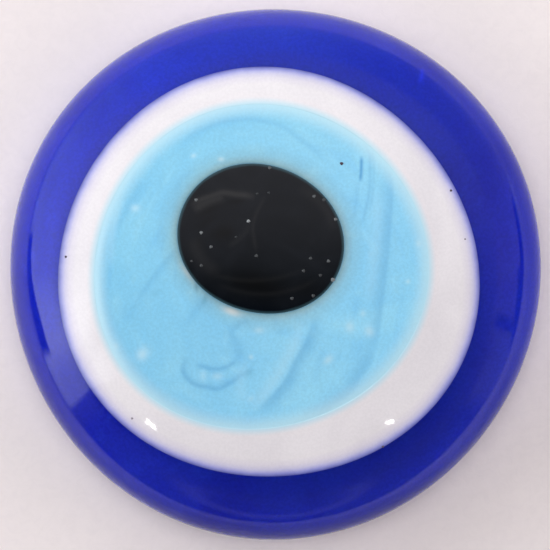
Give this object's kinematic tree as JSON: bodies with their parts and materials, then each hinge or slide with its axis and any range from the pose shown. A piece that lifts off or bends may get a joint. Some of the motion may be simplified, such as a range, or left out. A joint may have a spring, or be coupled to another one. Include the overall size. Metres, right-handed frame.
{
  "type": "evil eye ornament",
  "caption": "Thick round disc of fused glass with a domed face, a cobalt ring and an off-centre white, light blue and black eye, lying on its flat back.",
  "frame": {"origin": "centre of the flat back, on the disc's axis", "axes": "+Z out of the eye's domed face, +Y to the eye's top, where the pupil sits high, +X to the eye's right as seen from the front"},
  "size_m": [0.06, 0.06, 0.0138],
  "materials": {
    "cobalt_glass": "fire-polished, opaque cobalt blue",
    "white_glass": "fire-polished, opaque white",
    "light_blue_glass": "fire-polished, opaque streaky light blue",
    "black_glass": "fire-polished, opaque black"
  },
  "bodies": {
    "root": {"cobalt_body": "cobalt_glass", "white_layer": "white_glass", "light_blue_iris": "light_blue_glass", "black_pupil": "black_glass"}
  },
  "joints": []
}
